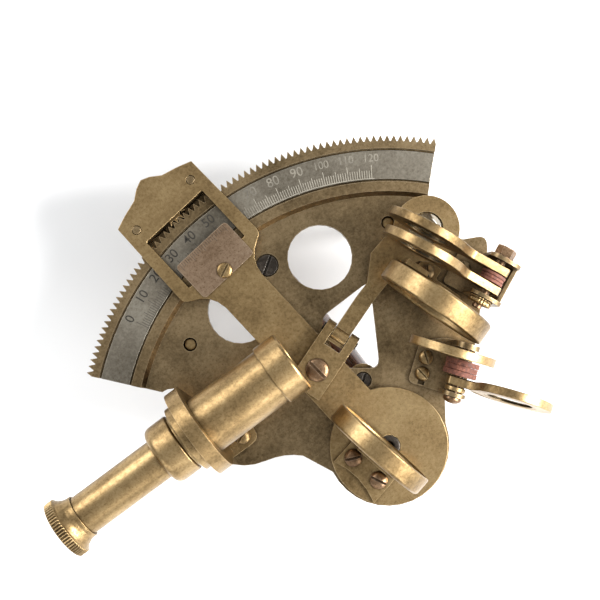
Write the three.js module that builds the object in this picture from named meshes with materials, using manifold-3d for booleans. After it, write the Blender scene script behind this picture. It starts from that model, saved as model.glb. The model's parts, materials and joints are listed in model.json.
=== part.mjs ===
// A small brass nautical sextant lying on its three legs, mirrors and telescope upward.
//
// Millimetres, +Z up. The parts are laid out in a group whose origin is the pivot of the index arm
// at the upper face of the frame's web. The middle of the graduated arc points along -Y. Bearings
// are degrees counterclockwise from +X, seen from above. At the end the group is moved so that the
// origin of the whole is the centre of the bottom of its bounding box.

import * as THREE from 'three';
import { mergeVertices } from 'three/addons/utils/BufferGeometryUtils.js';
import Module from 'manifold-3d';

const wasm = await Module();
wasm.setup();

// ---------------------------------------------------------------- driving dimensions

const GAP = 0.1; // clearance round shanks, shafts and seated glass
const LIMB = { from: 227, to: 313, middle: 270, tip: 77.1, root: 75.7, top: 1.6 };
const WEB_BOTTOM = -2.5;
const RECESS = { inner: 65.7, outer: 73.9, floor: 0.8 };
const TOOTH_ANGLE = 1.25; // 288 teeth in a full turn
const HUB_RADIUS = 15.4;
const LEG_BOTTOM = -30;
const LEG_STUDS = [
  { name: 'leg_scale_side', radius: 55.4, bearing: 299.2 },
  { name: 'leg_shade_side', radius: 55.4, bearing: 236 },
  { name: 'leg_hub', radius: 11, bearing: 60 },
];
const HANDLE_POSTS = [
  { name: 'limb', x: 0, y: -54, head: 2.6, headTop: -0.15 },
  { name: 'hub', x: -3.9, y: -16.8, head: 1.8, headTop: -0.5 },
];
const GRIP = { axisZ: -17, width: 8, height: 12, overhang: 6 };

const ARM = { bearing: 279.1, bottom: 2, top: 4, halfWidth: 6.1, disc: 14.65 };
const WINDOW = { start: 61.4, end: 84.8, half: 12.9, halfEnd: 12.4, openHalf: 9.4, openEnd: 77.7 };
const AXLE_RADIUS = 2.7;
const INDEX_MIRROR = { s: 2.8, t: 1.9, back: 95.4, radius: 13.55, depth: 4.7 };
const HORIZON_MIRROR = { x: -28.3, y: -23.9, back: 200.8, radius: 14.2, depth: 5.3 };
const MIRROR_AXIS_Z = 17.65;

const PINION = { teeth: 12, centre: 79.6, tip: 3.7, root: 2.43, shaft: 1.2 };
const CARRIER = { start: 77.7, end: 84.2, half: 12, bottom: -5.5, shelf: 72.8, shelfTop: -3.3 };

const CLEVIS = { s: 26, bearing: -76.9, tail: -6, tip: 12.2, half: 4.45, low: 4.2, high: 8.2 };
const HINGE_PIN = { x: 9.9, z: 6.2, radius: 1 };
const MAGNIFIER = { x: 43.6, y: -3, outer: 8.1, inner: 4.1, low: 4.6, high: 7.2 };

const TELESCOPE = { x: 35.15, y: -30, z: 17.5, bearing: 182.5, tube: 7.15, drawTube: 5.05 };
const SHADE = { radius: 10.35, glass: 6.5, thickness: 2.1, tailHalf: 2.6 };
const BOLT_RADIUS = 1.2;
const HORIZON_SHADES = {
  x: -42.7, y: -21, z: 16, bearing: 207.5, reach: 19,
  frames: [
    { name: 'horizon_shade_1', along: 2.4, tilt: 9, twist: 0 },
    { name: 'horizon_shade_2', along: -2.4, tilt: 20, twist: 0 },
  ],
};
const INDEX_SHADES = {
  x: -22.2, y: -3.8, z: 7, bearing: 219, reach: 13.7,
  frames: [
    { name: 'index_shade_1', along: 7.3, tilt: 69.3, twist: 0 },
    { name: 'index_shade_2', along: 0.6, tilt: 180, twist: -6.5 },
  ],
};

// ---------------------------------------------------------------- finishes

const finish = (color, roughness, metalness) => ({ color, roughness, metalness });
const BRASS = finish(0x96804f, 0.42, 0.9);
const DARK_BRASS = finish(0x6b5a3a, 0.5, 0.85);
const BRIGHT_BRASS = finish(0xb39a63, 0.35, 0.9);
const SILVER = finish(0x96917f, 0.4, 0.8);
const TARNISHED_NICKEL = finish(0xa59080, 0.4, 0.7);
const COPPER = finish(0x9a6a48, 0.4, 0.85);
const STEEL = finish(0x4a4034, 0.5, 0.8);
const FIBRE = finish(0xaa6455, 0.8, 0);
const GLASS = finish(0xcfd8d4, 0.05, 0);
const SHADE_GLASS = finish(0x3c2f1c, 0.08, 0);
const MIRROR = finish(0xc8ccca, 0.05, 1);
const WOOD = finish(0x5a3220, 0.5, 0);

// ---------------------------------------------------------------- small tools

const rad = THREE.MathUtils.degToRad;

/** The point at a radius and a bearing, as [x, y]. */
const polar = (radius, bearing) => [radius * Math.cos(rad(bearing)), radius * Math.sin(rad(bearing))];

/** A closed geometry as a manifold solid, with its shared vertices merged. */
function solidOf(geometry) {
  const bare = geometry.clone();
  bare.deleteAttribute('normal');
  bare.deleteAttribute('uv');
  const merged = mergeVertices(bare, 1e-5);
  const index = merged.index.array;
  const triangles = [];
  for (let i = 0; i < index.length; i += 3) {
    const [a, b, c] = [index[i], index[i + 1], index[i + 2]];
    if (a !== b && b !== c && a !== c) triangles.push(a, b, c);
  }
  const vertices = Float32Array.from(merged.attributes.position.array);
  return new wasm.Manifold(
    new wasm.Mesh({ numProp: 3, vertProperties: vertices, triVerts: Uint32Array.from(triangles) }),
  );
}

/** A manifold solid as a geometry. */
function geometryOf(solid) {
  const mesh = solid.getMesh();
  const geometry = new THREE.BufferGeometry();
  geometry.setAttribute('position', new THREE.BufferAttribute(mesh.vertProperties, 3));
  geometry.setIndex(new THREE.BufferAttribute(mesh.triVerts, 1));
  geometry.computeVertexNormals();
  return geometry;
}

/** The first geometry joined with the others. */
function join(first, ...others) {
  return geometryOf(others.reduce((sum, other) => sum.add(solidOf(other)), solidOf(first)));
}

/** The first geometry with the others cut away. */
function cut(first, ...tools) {
  return geometryOf(tools.reduce((rest, tool) => rest.subtract(solidOf(tool)), solidOf(first)));
}

/** A cylinder along Z between two heights. */
function post(radius, low, high, x = 0, y = 0, segments = 20) {
  const geometry = new THREE.CylinderGeometry(radius, radius, high - low, segments);
  return geometry.rotateX(Math.PI / 2).translate(x, y, (low + high) / 2);
}

/** A box between two corners. */
function block([x0, y0, z0], [x1, y1, z1]) {
  const geometry = new THREE.BoxGeometry(x1 - x0, y1 - y0, z1 - z0);
  return geometry.translate((x0 + x1) / 2, (y0 + y1) / 2, (z0 + z1) / 2);
}

/** A flat outline raised between two heights. */
function plate(shape, low, high, curveSegments = 4) {
  const options = { depth: high - low, bevelEnabled: false, curveSegments };
  return new THREE.ExtrudeGeometry(shape, options).translate(0, 0, low);
}

/** A [radius, height] profile turned about Z; it starts and ends on the axis or closes on itself. */
function turned(profile, segments = 24) {
  const points = profile.map(([radius, height]) => new THREE.Vector2(radius, height));
  return new THREE.LatheGeometry(points, segments).rotateX(Math.PI / 2);
}

/** Lays a geometry on its side: X to Y, Y to Z, Z to X. */
function alongX(geometry) {
  const basis = new THREE.Matrix4().makeBasis(
    new THREE.Vector3(0, 1, 0),
    new THREE.Vector3(0, 0, 1),
    new THREE.Vector3(1, 0, 0),
  );
  return geometry.applyMatrix4(basis);
}

/** A polygon whose corners are rounded by curves that start `radius` before each corner. */
function roundedPolygon(points, radius) {
  const shape = new THREE.Shape();
  points.forEach(([x, y], i) => {
    const corner = new THREE.Vector2(x, y);
    const before = new THREE.Vector2(...points[(i + points.length - 1) % points.length]);
    const after = new THREE.Vector2(...points[(i + 1) % points.length]);
    const start = corner.clone().add(before.sub(corner).setLength(radius));
    const end = corner.clone().add(after.sub(corner).setLength(radius));
    if (i === 0) shape.moveTo(start.x, start.y);
    else shape.lineTo(start.x, start.y);
    shape.quadraticCurveTo(x, y, end.x, end.y);
  });
  shape.closePath();
  return shape;
}

/** Points round an arc about (x, y), from one bearing to another. */
function arc(x, y, radius, from, to, steps) {
  return Array.from({ length: steps + 1 }, (_, i) => {
    const [dx, dy] = polar(radius, from + ((to - from) * i) / steps);
    return new THREE.Vector2(x + dx, y + dy);
  });
}

/** Continues a shape with straight lines through the points of an arc. */
function sweep(shape, ...arcArguments) {
  for (const point of arc(...arcArguments)) shape.lineTo(point.x, point.y);
}

/** A round outline. */
function disc(x, y, radius, steps = 24) {
  return new THREE.Shape(arc(x, y, radius, 0, 360, steps).slice(0, steps));
}

/** Adds a round hole to a shape. */
function pierce(shape, x, y, radius, steps = radius < 3 ? 12 : 24) {
  shape.holes.push(new THREE.Path(arc(x, y, radius, 0, -360, steps).slice(0, steps)));
  return shape;
}

/** A closed [radius, height] profile swept round the pivot from one bearing to another. */
function sector(profile, from, to, steps) {
  const count = profile.length;
  const positions = [];
  const triangles = [];
  for (let i = 0; i <= steps; i += 1) {
    const bearing = from + ((to - from) * i) / steps;
    for (const [radius, height] of profile) positions.push(...polar(radius, bearing), height);
  }
  for (let i = 0; i < steps; i += 1) {
    for (let j = 0; j < count; j += 1) {
      const a = i * count + j;
      const b = i * count + ((j + 1) % count);
      triangles.push(a, a + count, b, b, a + count, b + count);
    }
  }
  const flat = profile.map(([radius, height]) => new THREE.Vector2(radius, height));
  const last = steps * count;
  for (const [a, b, c] of THREE.ShapeUtils.triangulateShape(flat, [])) {
    triangles.push(a, b, c, last + a, last + c, last + b);
  }
  const geometry = new THREE.BufferGeometry();
  geometry.setAttribute('position', new THREE.Float32BufferAttribute(positions, 3));
  geometry.setIndex(triangles);
  geometry.computeVertexNormals();
  return geometry;
}

/** A named mesh with its own material, added to a group. */
function add(group, name, geometry, look) {
  const mesh = new THREE.Mesh(geometry, new THREE.MeshStandardMaterial(look));
  mesh.name = name;
  group.add(mesh);
  return mesh;
}

/** A slotted screw standing on z = 0: a domed head above and a shank below. */
function slottedScrew(headRadius, headHeight, shankRadius, shankLength) {
  const screw = turned([
    [0, -shankLength],
    [shankRadius, -shankLength],
    [shankRadius, 0],
    [headRadius, 0],
    [headRadius, headHeight * 0.35],
    [headRadius * 0.7, headHeight * 0.84],
    [0, headHeight],
  ], 12);
  const slot = headRadius * 0.11;
  return cut(screw, block([-headRadius, -slot, headHeight * 0.55], [headRadius, slot, headHeight * 2]));
}

// ---------------------------------------------------------------- frame

/** The outline of the frame's web, counterclockwise from the limb's shade-side end. */
function webOutline() {
  const limbRadius = 70;
  const notch = { x: 39.27, y: -37.88, r: 4.5 };
  const lobe = { x: 25.37, y: -26.76, r: 13.3 };
  const web = new THREE.Shape();
  web.moveTo(...polar(limbRadius, LIMB.from));
  sweep(web, 0, 0, limbRadius, LIMB.from, LIMB.to, 12);
  web.lineTo(...polar(57.94, LIMB.to));
  sweep(web, notch.x, notch.y, notch.r, -86.8, -218.6, 7);
  sweep(web, lobe.x, lobe.y, lobe.r, -38.6, 80, 10);
  web.quadraticCurveTo(22.5, -12.7, 19.2, -9.5);
  sweep(web, 0, 0, HUB_RADIUS, -7.5, 166, 16);
  web.lineTo(-18.3, -1.7);
  web.lineTo(-32, -8.5);
  web.lineTo(-45.7, -23.4);
  web.lineTo(-48.3, -27.2);
  web.quadraticCurveTo(-49.9, -29.6, -47.4, -30.6);
  web.lineTo(-44.3, -32);
  web.quadraticCurveTo(-39.5, -35.2, ...polar(58, LIMB.from));
  web.closePath();
  return web;
}

/** The rack round the limb: pointed teeth on a narrow ring. */
function rack() {
  const inner = 74.6;
  const half = Math.floor((LIMB.to - LIMB.from) / TOOTH_ANGLE / 2);
  const outline = [polar(inner, LIMB.from), polar(LIMB.root, LIMB.from)];
  for (let k = -half; k <= half; k += 1) {
    const bearing = LIMB.middle + k * TOOTH_ANGLE;
    outline.push(polar(LIMB.root, bearing - 0.42 * TOOTH_ANGLE));
    outline.push(polar(LIMB.tip, bearing - 0.04 * TOOTH_ANGLE));
    outline.push(polar(LIMB.tip, bearing + 0.04 * TOOTH_ANGLE));
    outline.push(polar(LIMB.root, bearing + 0.42 * TOOTH_ANGLE));
  }
  outline.push(polar(LIMB.root, LIMB.to));
  const steps = 16;
  for (let i = 0; i <= steps; i += 1) {
    outline.push(polar(inner, LIMB.to - ((LIMB.to - LIMB.from) * i) / steps));
  }
  outline.pop();
  const shape = new THREE.Shape(outline.map(([x, y]) => new THREE.Vector2(x, y)));
  return plate(shape, WEB_BOTTOM, LIMB.top);
}

/** The frame: web, hub boss, and the limb with its inner ridge, its recess and its rack. */
function framePlate() {
  const web = webOutline();
  for (const bearing of [LIMB.middle - 14, LIMB.middle + 14]) pierce(web, ...polar(49.8, bearing), 8.1);
  web.holes.push(roundedPolygon([[-19.2, -36.5], [-3.5, -35.6], [-0.7, -22.5], [-9, -16.9]], 2.5));
  for (const { radius, bearing } of LEG_STUDS) pierce(web, ...polar(radius, bearing), 1.75);
  for (const { x, y } of HANDLE_POSTS) pierce(web, x, y, 1.2 + GAP);
  pierce(web, 0, 0, AXLE_RADIUS + GAP);
  const boss = pierce(disc(0, 0, 13, 32), 0, 0, AXLE_RADIUS + GAP);
  for (const { radius, bearing } of LEG_STUDS.slice(2)) pierce(boss, ...polar(radius, bearing), 1.75);
  const limb = sector([
    [61.4, WEB_BOTTOM],
    [75.4, WEB_BOTTOM],
    [75.4, LIMB.top],
    [RECESS.outer, LIMB.top],
    [RECESS.outer, RECESS.floor],
    [RECESS.inner, RECESS.floor],
    [RECESS.inner, LIMB.top],
    [63.2, LIMB.top],
    [62.2, 0],
    [61.4, 0],
  ], LIMB.from, LIMB.to, 30);
  const sinks = HANDLE_POSTS.map(({ x, y, head }) => post(head + 0.35, -1.3, 1, x, y));
  return cut(join(plate(web, WEB_BOTTOM, 0), plate(boss, -1, 1.7), limb, rack()), ...sinks);
}

/** The silvered arc that carries the graduations, let into the limb. */
function scaleStrip() {
  const inner = RECESS.inner + 0.5;
  const outer = RECESS.outer - 0.5;
  const top = RECESS.floor + 0.6;
  const profile = [[inner, RECESS.floor], [outer, RECESS.floor], [outer, top], [inner, top]];
  return sector(profile, LIMB.from, LIMB.to, 30);
}

/** One turned leg, hung under the web by a stud that stops short of the web's upper face. */
function leg() {
  return turned([
    [0, LEG_BOTTOM],
    [2.6, LEG_BOTTOM],
    [3.3, LEG_BOTTOM + 0.9],
    [3.3, LEG_BOTTOM + 2.2],
    [2, LEG_BOTTOM + 4.5],
    [2.1, -7],
    [3.9, -4.2],
    [3.9, WEB_BOTTOM],
    [1.6, WEB_BOTTOM],
    [1.6, -0.7],
    [0, -0.7],
  ], 16);
}

/** The handle's bellied wooden grip, along the line between its two posts. */
function handle(group) {
  const [limbPost, hubPost] = HANDLE_POSTS;
  const run = new THREE.Vector2(hubPost.x - limbPost.x, hubPost.y - limbPost.y);
  const length = run.length();
  const half = length / 2 + GRIP.overhang;
  const r = GRIP.width / 2;
  const profile = [
    [0, -half],
    [r * 0.55, -half],
    [r * 0.85, -half + 1.5],
    [r * 0.88, -half + 6],
    [r, 0],
    [r * 0.88, half - 6],
    [r * 0.85, half - 1.5],
    [r * 0.55, half],
    [0, half],
  ];
  const body = alongX(turned(profile, 16)).scale(1, 1, GRIP.height / GRIP.width);
  const holes = [-1, 1].map((side) => post(2.4, 0, GRIP.height, (side * length) / 2, 0, 16));
  const grip = add(group, 'handle_grip', cut(body, ...holes), WOOD);
  grip.position.set((limbPost.x + hubPost.x) / 2, (limbPost.y + hubPost.y) / 2, GRIP.axisZ);
  grip.rotation.z = run.angle();
  for (const { name, x, y, head, headTop } of HANDLE_POSTS) {
    const column = turned([
      [0, GRIP.axisZ + 0.2],
      [2.2, GRIP.axisZ + 0.2],
      [2.2, -10.4],
      [3.3, -9.6],
      [3.3, -8.8],
      [2.3, -7.4],
      [2.3, -5],
      [4, -3.8],
      [4, WEB_BOTTOM],
      [0, WEB_BOTTOM],
    ], 16);
    const thread = post(1.2 + GAP, -8, 0);
    add(group, `handle_post_${name}`, cut(column, thread), BRASS).position.set(x, y, 0);
    const screw = cut(
      turned([[0, -7.5], [1.2, -7.5], [1.2, -1.2], [head, -1.2], [head, headTop], [0, headTop]], 16),
      block([-head, -0.35, headTop - 0.6], [head, 0.35, headTop + 1]),
    );
    const placed = add(group, `handle_screw_${name}`, screw, STEEL);
    placed.position.set(x, y, 0);
    placed.rotation.z = rad(35);
  }
}

// ---------------------------------------------------------------- mirrors

/** A round mirror cell with its axis along X: a closed back at +X and an open, lipped front. */
function mirrorCell(radius, depth) {
  const half = depth / 2;
  const wall = 1.3;
  return alongX(turned([
    [0, half - 1.2],
    [radius - wall, half - 1.2],
    [radius - wall, -half],
    [radius - 0.3, -half],
    [radius, -half + 0.3],
    [radius, half - 0.3],
    [radius - 0.3, half],
    [0, half],
  ], 32));
}

/** The silvered glass inside a cell. */
function mirrorGlass(radius, depth) {
  return alongX(post(radius - 1.3 - GAP, depth / 2 - 1.3 - 1.6, depth / 2 - 1.3, 0, 0, 32));
}

/** A cell and its glass, standing with the back toward the group's +X. */
function mirror(group, name, { radius, depth }) {
  add(group, `${name}_cell`, mirrorCell(radius, depth), BRASS);
  add(group, `${name}_glass`, mirrorGlass(radius, depth), MIRROR);
}

/** The horizon mirror, fixed to the web by a foot behind it. */
function horizonMirror(group) {
  const stand = new THREE.Group();
  stand.position.set(HORIZON_MIRROR.x, HORIZON_MIRROR.y, MIRROR_AXIS_Z);
  stand.rotation.z = rad(HORIZON_MIRROR.back);
  group.add(stand);
  mirror(stand, 'horizon_mirror', HORIZON_MIRROR);
  const floor = -MIRROR_AXIS_Z;
  const behind = HORIZON_MIRROR.depth / 2 + GAP;
  const screwAt = [5.9, 4.6];
  const base = [[behind, -6], [5.6, -6], [5.6, 1.9], [8.4, 1.9], [8.4, 7.4], [behind, 7.4]];
  const foot = cut(
    join(
      plate(roundedPolygon(base, 0.7), floor, floor + 1.4),
      block([behind, -5.6, floor + 0.5], [behind + 1.3, 6.2, floor + 12]),
      block([behind, 5, floor + 9.6], [behind + 2, 11, -1]),
    ),
    post(0.9 + GAP, floor - 1, floor + 3, ...screwAt, 12),
  );
  add(stand, 'horizon_mirror_foot', foot, BRIGHT_BRASS);
  const screw = add(stand, 'horizon_mirror_screw', slottedScrew(1.8, 1.2, 0.9, 1.3), DARK_BRASS);
  screw.position.set(...screwAt, floor + 1.4);
  screw.rotation.z = rad(40);
}

/** The index mirror, on a foot with a hollowed back edge, screwed to the index arm. */
function indexMirror(arm) {
  const stand = new THREE.Group();
  stand.position.set(INDEX_MIRROR.s, INDEX_MIRROR.t, MIRROR_AXIS_Z);
  stand.rotation.z = rad(INDEX_MIRROR.back);
  arm.add(stand);
  mirror(stand, 'index_mirror', INDEX_MIRROR);
  const floor = ARM.top - MIRROR_AXIS_Z;
  const behind = INDEX_MIRROR.depth / 2 + GAP;
  const screws = [-1.9, 6.4];
  const middle = (screws[0] + screws[1]) / 2;
  const outline = new THREE.Shape();
  outline.moveTo(behind, middle - 7);
  outline.lineTo(10.2, middle - 7.1);
  outline.quadraticCurveTo(7.95, middle, 11.3, middle + 7.1);
  outline.lineTo(behind, middle + 7);
  outline.closePath();
  for (const y of screws) pierce(outline, 6.3, y, 1 + GAP);
  const upright = block([behind, middle - 5.5, floor + 0.5], [behind + 1.3, middle + 5.5, floor + 9.5]);
  add(stand, 'index_mirror_foot', join(plate(outline, floor, floor + 1.3), upright), BRASS);
  screws.forEach((y, i) => {
    const screw = add(stand, `index_mirror_screw_${i + 1}`, slottedScrew(2.2, 1.6, 1, 1.2), COPPER);
    screw.position.set(6.3, y, floor + 1.3);
    screw.rotation.z = rad(-35 - 40 * i);
  });
}

// ---------------------------------------------------------------- index arm

/** The index arm: a disc on the pivot, a straight arm, and a windowed end over the limb. */
function indexArmPlate() {
  const shape = new THREE.Shape();
  const root = THREE.MathUtils.radToDeg(Math.asin(ARM.halfWidth / ARM.disc));
  const { start, end, half, halfEnd } = WINDOW;
  shape.moveTo(...polar(ARM.disc, -root));
  shape.lineTo(52.5, -ARM.halfWidth);
  shape.quadraticCurveTo(57.5, -ARM.halfWidth - 0.4, 59.6, -half + 1.6);
  shape.quadraticCurveTo(60.2, -half, start + 0.6, -half);
  shape.lineTo(end, -halfEnd);
  for (const side of [-1, 1]) {
    const ogee = [[86.1, 8.8], [87.2, 4.7], [89, 2.2], [89.9, 0]];
    if (side > 0) ogee.reverse().shift();
    for (const [s, t] of ogee) shape.lineTo(s, side * t);
  }
  shape.lineTo(end, halfEnd);
  shape.lineTo(start + 0.6, half);
  shape.quadraticCurveTo(60.2, half, 59.6, half - 1.6);
  shape.quadraticCurveTo(57.5, ARM.halfWidth + 0.4, 52.5, ARM.halfWidth);
  sweep(shape, 0, 0, ARM.disc, root, 360 - root, 32);
  pierce(shape, 0, 0, AXLE_RADIUS + GAP);
  const opening = [[62.2, -WINDOW.openHalf], [WINDOW.openEnd, -WINDOW.openHalf],
    [WINDOW.openEnd, WINDOW.openHalf], [62.2, WINDOW.openHalf]];
  shape.holes.push(roundedPolygon(opening, 0.4));
  pierce(shape, CLEVIS.s, 0, 1.5 + GAP);
  pierce(shape, 59.4, 0, 0.9 + GAP);
  for (const t of [-9.1, 9.1]) pierce(shape, 81.5, t, 1.05 + GAP);
  return plate(shape, ARM.bottom, ARM.top);
}

/** The axle of the index arm, flush with the arm and shouldered under the frame. */
function armAxle() {
  return turned([
    [0, -4.6],
    [AXLE_RADIUS, -4.6],
    [AXLE_RADIUS, ARM.top - 0.05],
    [1.2, ARM.top - 0.05],
    [1.2, 2.2],
    [0, 2.2],
  ], 24);
}

/** The nut and washer that hold the axle up under the frame. */
function axleNut() {
  const profile = [
    [AXLE_RADIUS + GAP, -6],
    [4.6, -6],
    [4.6, -3.6],
    [5.8, -3.6],
    [5.8, WEB_BOTTOM - 0.2],
    [AXLE_RADIUS + GAP, WEB_BOTTOM - 0.2],
    [AXLE_RADIUS + GAP, -6],
  ];
  return turned(profile, 24);
}

/** The carrier under the end of the arm: a pocket for the pinion, and a shelf under the rack. */
function pinionCarrier() {
  const { start, end, half, bottom, shelf, shelfTop } = CARRIER;
  const pocket = 4.3;
  const body = cut(
    join(
      block([start, -half, bottom], [end, half, ARM.bottom]),
      block([shelf, -half, bottom], [start, half, shelfTop]),
    ),
    post(pocket, bottom + 1.5, ARM.bottom + 1, PINION.centre, 0, 28),
    block([start - 1, -pocket, bottom + 1.5], [PINION.centre, pocket, ARM.bottom + 1]),
    post(PINION.shaft + GAP, bottom - 1, ARM.bottom, PINION.centre),
  );
  const rivets = [-9.1, 9.1].map((t) => post(1.05, 1, ARM.top + 0.2, 81.5, t));
  return join(body, ...rivets);
}

/** The tangent pinion and its shaft, with the gap between two teeth toward the rack's tooth. */
function tangentPinion() {
  const outline = [];
  const step = 360 / PINION.teeth;
  for (let k = 0; k < PINION.teeth; k += 1) {
    outline.push(polar(PINION.root, k * step - 8.5));
    outline.push(polar(PINION.tip, k * step - 1.2));
    outline.push(polar(PINION.tip, k * step + 1.2));
    outline.push(polar(PINION.root, k * step + 8.5));
  }
  const gear = new THREE.Shape(outline.map(([x, y]) => new THREE.Vector2(x, y)));
  return join(plate(gear, -2.4, 1.5), post(PINION.shaft, -9, ARM.bottom - 0.1));
}

/** The finger knob on the lower end of the pinion's shaft. */
function tangentKnob() {
  const bore = PINION.shaft + GAP;
  return turned([
    [0, -10.9],
    [5.5, -10.9],
    [5.5, -6.4],
    [2.4, -6.4],
    [2.4, -5.7],
    [bore, -5.7],
    [bore, -9.1],
    [0, -9.1],
  ], 28);
}

/** The swivelling clevis block with its fork, hinge hole and screw hole. */
function clevisBlock() {
  const { tail, tip, half, low, high } = CLEVIS;
  const side = new THREE.Shape();
  const round = (high - low) / 2;
  side.moveTo(tail, low);
  side.lineTo(tip - round, low);
  sweep(side, tip - round, low + round, round, -90, 90, 8);
  side.lineTo(tail, high);
  side.closePath();
  pierce(side, HINGE_PIN.x, HINGE_PIN.z, HINGE_PIN.radius + GAP);
  const body = plate(side, -half, half).rotateX(Math.PI / 2);
  return cut(
    body,
    block([6.3, -2.2, low - 1], [tip + 1, 2.2, high + 1]),
    post(1.5 + GAP, low - 1, high + 1),
  );
}

/** The magnifier's arm: an eye round the hinge pin, a bar that widens, and a flat ring. */
function magnifierArm() {
  const { x, y, outer, inner, low, high } = MAGNIFIER;
  const bar = new THREE.Shape();
  bar.moveTo(HINGE_PIN.x, -2);
  bar.lineTo(22, -2.1);
  bar.lineTo(28.5, -2.6);
  bar.lineTo(32.6, -3.2);
  bar.lineTo(36.5, -6.3);
  bar.lineTo(38.5, 2);
  bar.lineTo(36, 4.4);
  bar.lineTo(31, 5);
  bar.lineTo(24.5, 1.7);
  bar.lineTo(20, 2);
  bar.lineTo(HINGE_PIN.x, 2);
  bar.closePath();
  const eye = disc(HINGE_PIN.x, HINGE_PIN.z, 1.9, 16);
  const tail = block([7.5, -2, 5.3], [HINGE_PIN.x, 2, 7.2]);
  const solid = join(
    plate(bar, 5.3, high),
    plate(eye, -2, 2).rotateX(Math.PI / 2),
    tail,
    post(outer, low, high, x, y, 36),
  );
  const pinHole = disc(HINGE_PIN.x, HINGE_PIN.z, HINGE_PIN.radius + GAP, 12);
  return cut(
    solid,
    plate(pinHole, -3, 3).rotateX(Math.PI / 2),
    post(inner, low + 0.6, high + 1, x, y, 28),
    post(inner - 0.5, low - 1, high, x, y, 28),
  );
}

/** A small double-convex lens standing on z = 0. */
function lens(radius, rim, bulge) {
  return turned([
    [0, -bulge],
    [radius * 0.6, -bulge * 0.64],
    [radius, 0],
    [radius, rim],
    [radius * 0.6, rim + bulge * 0.64],
    [0, rim + bulge],
  ], 20);
}

/** The magnifier: clevis on its screw, hinge pin, and the arm with its lens. */
function magnifier(arm) {
  const swivel = new THREE.Group();
  swivel.position.set(CLEVIS.s, 0, 0);
  swivel.rotation.z = rad(CLEVIS.bearing);
  arm.add(swivel);
  add(swivel, 'magnifier_clevis', clevisBlock(), BRASS);
  const screw = add(swivel, 'clevis_screw', slottedScrew(2.85, 1, 1.5, 6.2), COPPER);
  screw.position.z = CLEVIS.high + 0.05;
  screw.rotation.z = rad(-102);
  const reach = CLEVIS.half + 0.4;
  const pin = plate(disc(HINGE_PIN.x, HINGE_PIN.z, HINGE_PIN.radius, 12), -reach, reach);
  add(swivel, 'magnifier_pin', pin.rotateX(Math.PI / 2), STEEL);
  add(swivel, 'magnifier_arm', magnifierArm(), BRASS);
  const glass = add(swivel, 'magnifier_lens', lens(MAGNIFIER.inner - GAP, 0.9, 0.5), GLASS);
  glass.position.set(MAGNIFIER.x, MAGNIFIER.y, MAGNIFIER.low + 1.2);
}

/** Everything that turns with the index arm, laid out with the arm along the group's +X. */
function indexArm(group) {
  const arm = new THREE.Group();
  arm.rotation.z = rad(ARM.bearing);
  group.add(arm);
  add(arm, 'index_arm', indexArmPlate(), BRASS);
  add(arm, 'arm_axle', armAxle(), DARK_BRASS);
  add(arm, 'arm_axle_nut', axleNut(), DARK_BRASS);
  const vernier = pierce(roundedPolygon([[57.6, -8.3], [68.2, -8.3], [68.2, 8.3], [57.6, 8.3]], 1.1), 59.4, 0, 1);
  add(arm, 'vernier_plate', plate(vernier, ARM.top, ARM.top + 0.4), TARNISHED_NICKEL);
  const screw = add(arm, 'vernier_screw', slottedScrew(1.95, 0.75, 0.9, 2.3), BRASS);
  screw.position.set(59.4, 0, ARM.top + 0.4);
  screw.rotation.z = rad(-70);
  add(arm, 'pinion_carrier', pinionCarrier(), DARK_BRASS);
  indexMirror(arm);
  magnifier(arm);
  const drive = new THREE.Group();
  drive.position.x = PINION.centre;
  const pitchesPast = (ARM.bearing - LIMB.middle) / TOOTH_ANGLE;
  drive.rotation.z = rad(180 + ((pitchesPast + 0.5) * 360) / PINION.teeth);
  arm.add(drive);
  add(drive, 'tangent_pinion', tangentPinion(), BRASS);
  add(drive, 'tangent_knob', tangentKnob(), BRASS);
}

// ---------------------------------------------------------------- telescope

/** The bracket: a ring on a tapering upright, and a foot toward the objective. */
function telescopeBracket() {
  const ring = 11.3;
  const floor = -TELESCOPE.z;
  const side = new THREE.Shape();
  side.moveTo(-9.5, floor);
  side.lineTo(6, floor);
  side.lineTo(ring * Math.cos(rad(-14)), ring * Math.sin(rad(-14)));
  sweep(side, 0, 0, ring, -14, 194, 24);
  side.closePath();
  pierce(side, 0, 0, TELESCOPE.tube + GAP);
  const foot = roundedPolygon([[-1.8, -11.1], [9.3, -11.1], [9.3, 6], [-1.8, 6]], 2.6);
  pierce(foot, 6, -8, 1 + GAP);
  return join(alongX(plate(side, -1.8, 1.8)), plate(foot, floor, floor + 1.6));
}

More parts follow.
